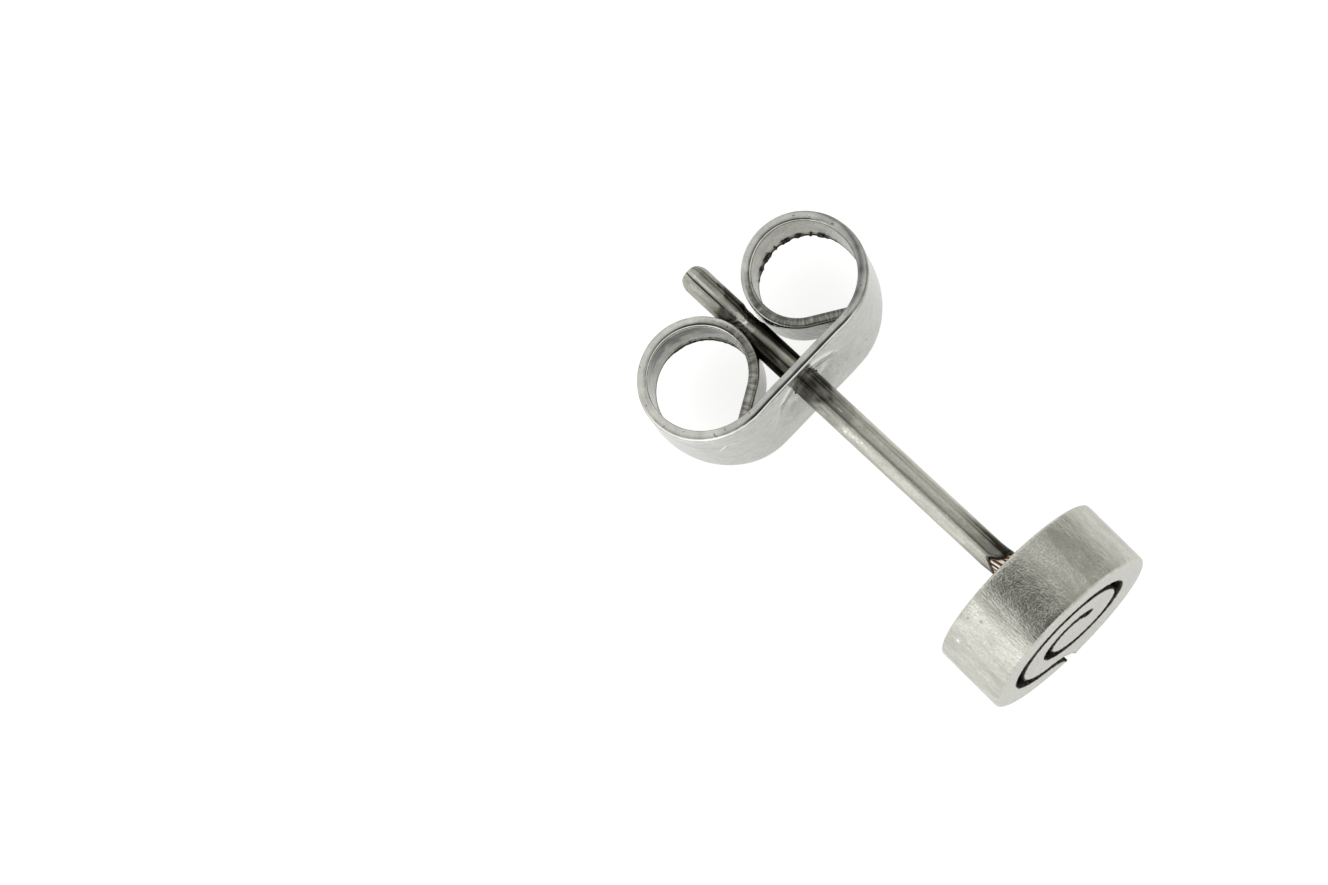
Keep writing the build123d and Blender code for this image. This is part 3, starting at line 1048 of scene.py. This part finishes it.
def drawn_wire():
    """Drawn wire with lines along it. shade darkens it: the scorch by the weld, a darker stretch
    before the plate, and painted shade and painted dark reflections elsewhere; tone above 0 is the
    weld's own colour, black, brown, gold, then bare bright metal, and below 0 painted highlight on
    the tip and a bright patch in the groove."""
    made, tree, shader = metal("drawn_wire", 0.85)
    lines = streaks(tree, (24, 0.3))
    broad = streaks(tree, (6, 0.12), 1, 0.5)
    cloud = streaks(tree, (5, 1.2), 4)
    speck = specks(tree, 17.0)
    mixed = over(tree, 0.5, over(tree, 0.4, lines, broad), speck)
    stops = [(0.33, (0.44, 0.435, 0.385)), (0.5, (0.67, 0.66, 0.595)), (0.67, (0.88, 0.87, 0.80))]
    colour = ramp(tree, mixed, stops)
    blotch = ranged(tree, cloud, 0.3, 0.7, -0.12, 0.12)
    # shade: painted shade and painted dark reflections, besides the scorch by the weld
    shade = maths(tree, "ADD", attribute(tree, "shade"), blotch)
    shade = ranged(tree, shade, 0.0, 0.9, 0.0, 1.0)
    colour = over(tree, shade, colour, (0.036, 0.031, 0.024, 1))
    tone = attribute(tree, "tone")
    tint = ramp(tree, tone, [
        (0.0, (0.02, 0.022, 0.03)), (0.28, (0.03, 0.028, 0.03)), (0.42, (0.30, 0.13, 0.035)),
        (0.54, (0.60, 0.42, 0.20)), (0.68, (0.80, 0.78, 0.70)), (1.0, (0.92, 0.91, 0.88))])
    colour = tinted(tree, colour, tint, tone, 0.0, 0.04)
    # tone below 0: painted highlight
    colour = tinted(tree, colour, (0.97, 0.96, 0.92, 1), tone, 0.0, -1.0)
    colour = marked(tree, colour, wire_nicks, (0.97, 0.96, 0.93, 1))
    rough = ranged(tree, cloud, 0.35, 0.65, 0.27, 0.36)
    normal = bump(tree, lines, 0.005, bump(tree, speck, 0.002))
    connect(tree, shader, colour, rough, normal)
    return made


def tumbled(name, low, high, blue, edge_tint, scratches=()):
    """Sheet smoothed by tumbling, its colour from low to high with the share blue left of its
    blue: soft sheen, faint peel, pits. tone above 0 is how much darker it is painted, mostly
    painted shade, and below 0 painted highlight."""
    made, tree, shader = metal(name, edge_tint)
    peel = specks(tree, 3.0, 3, 0.55)
    speck = specks(tree, 14.0, 3, 0.7)
    pits = specks(tree, 8.0, 1, 0.4)
    stops = [(0.3, (low, low, low * blue)), (0.7, (high, high, high * blue))]
    colour = ramp(tree, over(tree, 0.6, peel, speck), stops)
    colour = tinted(tree, colour, pit_colour, pits, 0.26, 0.23, 0.8)
    tone = attribute(tree, "tone")
    # tone above 0: mostly painted shade; below 0: painted highlight
    colour = over(tree, tone, colour, (0.05, 0.05, 0.048, 1))
    colour = tinted(tree, colour, painted_highlight_steel, tone, 0.0, -1.0)
    colour = marked(tree, colour, scratches, (0.99, 0.99, 0.97, 1))
    rough = ranged(tree, speck, 0.3, 0.7, 0.09, 0.15)
    normal = bump(tree, peel, 0.008, bump(tree, speck, 0.0015, bump(tree, pits, 0.006)))
    connect(tree, shader, colour, rough, normal)
    return made


def sheared_edge():
    """Sheared edges: tumbled smooth near the plate, and crossed by shear lines and darker as
    shade grows towards the tails."""
    made, tree, shader = metal("sheared_edge", 0.85)
    worn = attribute(tree, "shade")
    stripes = streaks(tree, (12, 1.5))
    speck = specks(tree, 16.0)
    pits = specks(tree, 9.0, 1, 0.4)
    smooth_tone = ramp(tree, speck, [(0.3, (0.56, 0.56, 0.52)), (0.7, (0.66, 0.66, 0.62))])
    torn_tone = ramp(tree, stripes, [(0.38, (0.13, 0.125, 0.11)), (0.62, (0.50, 0.49, 0.45))])
    colour = tinted(tree, smooth_tone, torn_tone, worn, 0.0, 1.0, 0.85)
    colour = tinted(tree, colour, pit_colour, pits, 0.28, 0.24, 0.7)
    # tone above 0: the land's darker stretches and the painted dark reflections; below 0: painted highlights
    tone = attribute(tree, "tone")
    colour = over(tree, tone, colour, (0.05, 0.055, 0.065, 1))
    colour = tinted(tree, colour, painted_highlight_steel, tone, 0.0, -1.0)
    rough = ranged(tree, worn, 0.0, 1.0, 0.08, 0.30)
    relief = over(tree, worn, (0.5, 0.5, 0.5, 1), stripes)
    normal = bump(tree, relief, 0.006, bump(tree, speck, 0.0010))
    connect(tree, shader, colour, rough, normal)
    return made


def torn_burr():
    """The burr that the shears tore along the far edge: rough, and painted dark as the shade on it."""
    made, tree, shader = metal("torn_burr", 0.6)
    grit = specks(tree, 14.0)
    colour = ramp(tree, grit, [(0.35, (0.03, 0.028, 0.025)), (0.7, (0.20, 0.19, 0.17))])
    rough = ranged(tree, grit, 0.3, 0.7, 0.4, 0.6)
    connect(tree, shader, colour, rough, bump(tree, grit, 0.012))
    return made


# Studio

def floor_sheet():
    """A wide round sheet on the table that glows. The camera sees it nearly white, as the photograph's
    paper;
    the metal reflects it as matt paper that glows less towards +y."""
    turn = np.linspace(0, 2 * np.pi, 97)[:-1]
    rings = np.array([0.02, 0.06, 0.2, 0.8])[:, None]
    grid = joined(rings * np.cos(turn), rings * np.sin(turn), 0.0)
    columns = len(turn)
    i = np.arange(len(rings) - 1)[:, None] * columns
    j = np.arange(columns)[None, :]
    k = (j + 1) % columns
    faces = np.stack([i + j, i + columns + j, i + columns + k, i + k], -1).reshape(-1, 4).tolist()
    faces.append(list(range(columns)))
    mesh = bpy.data.meshes.new("floor")
    mesh.from_pydata(grid.reshape(-1, 3), [], faces)
    made = bpy.data.materials.new("glowing_paper")
    tree = emptied(made)
    seen = add(tree, "ShaderNodeLightPath").outputs["Is Camera Ray"]
    y = add(tree, "ShaderNodeSeparateXYZ", Vector=object_place(tree)).outputs["Y"]
    glow = ranged(tree, y, 0.002, 0.016, 0.50, 0.20)
    glow = over(tree, seen, glow, (0.78, 0.78, 0.78, 1))
    pale = over(tree, seen, (0.78, 0.78, 0.77, 1), (0.5, 0.5, 0.5, 1))
    paper = add(tree, "ShaderNodeBsdfPrincipled", Base_Color=pale, Roughness=0.8, Emission_Strength=glow)
    paper.inputs["Specular IOR Level"].default_value = 0.0
    paper.inputs["Emission Color"].default_value = (1, 1, 1, 1)
    add(tree, "ShaderNodeOutputMaterial", Surface=paper.outputs[0])
    mesh.materials.append(made)
    floor = linked("floor", mesh)


# The studio's tone by the angle round the post, in degrees from straight up: minus on the -y
# side, where the window is, plus on the +y side; the dark part overhead is behind the camera
studio_tones = (
    (-180, 0.80), (-124, 0.85), (-96, 1.0), (-84, 1.25), (-66, 1.42), (-54, 1.15), (-43, 0.90),
    (-35, 0.55), (-27, 0.10), (-10, 0.05), (0, 0.12), (10, 0.30), (22, 0.50), (32, 0.66), (40, 0.76),
    (50, 0.40), (62, 0.60), (74, 0.38), (92, 0.38), (112, 0.62), (180, 0.80))


def studio_light():
    """Soft tent of light in the studio's tones, plain towards both ends of the post."""
    world = bpy.data.worlds.new("studio")
    bpy.context.scene.world = world
    tree = emptied(world)
    way = add(tree, "ShaderNodeTexCoord").outputs["Generated"]
    parts = add(tree, "ShaderNodeSeparateXYZ", Vector=way).outputs
    angle = maths(tree, "ARCTAN2", parts["Y"], parts["Z"])
    share = ranged(tree, angle, -np.pi, np.pi, 0.0, 1.0)
    stops = [((a + 180) / 360, (t, t, t * (0.86 + 0.14 * min(t, 1)))) for a, t in studio_tones]
    tent = ramp(tree, share, stops, False)
    aside = maths(tree, "ABSOLUTE", maths(tree, "SUBTRACT", parts["X"], 0.02))
    ends = ranged(tree, aside, 0.30, 0.46, 0.0, 1.0)
    tent = over(tree, ends, tent, (0.92, 0.92, 0.90, 1))
    seen = add(tree, "ShaderNodeLightPath").outputs["Is Camera Ray"]
    tent = over(tree, seen, tent, (0.95, 0.95, 0.95, 1))
    light = add(tree, "ShaderNodeBackground", Color=tent, Strength=1.0)
    add(tree, "ShaderNodeOutputWorld", Surface=light.outputs[0])


def camera():
    """The photograph's camera: its place and axes, and the lens that its focal length gives."""
    data = bpy.data.cameras.new("camera")
    data.sensor_fit = "HORIZONTAL"
    data.sensor_width = sensor_width
    data.lens = sensor_width * focal_pixels / image_width
    data.clip_start = 0.001
    made = linked("camera", data)
    turn = np.eye(4)
    turn[:3, :3] = np.array([camera_right, [-v for v in camera_down], [-v for v in camera_ahead]]).T
    turn[:3, 3] = np.array(camera_place) * MM
    made.matrix_world = Matrix(turn.tolist())
    bpy.context.scene.camera = made


disc([satin_rim(), brushed_face(), cut_wall()])
post([drawn_wire()])
outside = tumbled("tumbled_outside", 0.48, 0.72, 0.95, 0.88, sheet_scratches)
# The inner faces take a darker, warmer copy of the outer finish: painted shade inside the curls
inside = tumbled("tumbled_inside_shaded", 0.34, 0.61, 0.87, 0.74)
clutch([outside, sheared_edge(), torn_burr(), inside])
floor_sheet()
studio_light()
camera()
bpy.context.scene.view_settings.view_transform = "Standard"
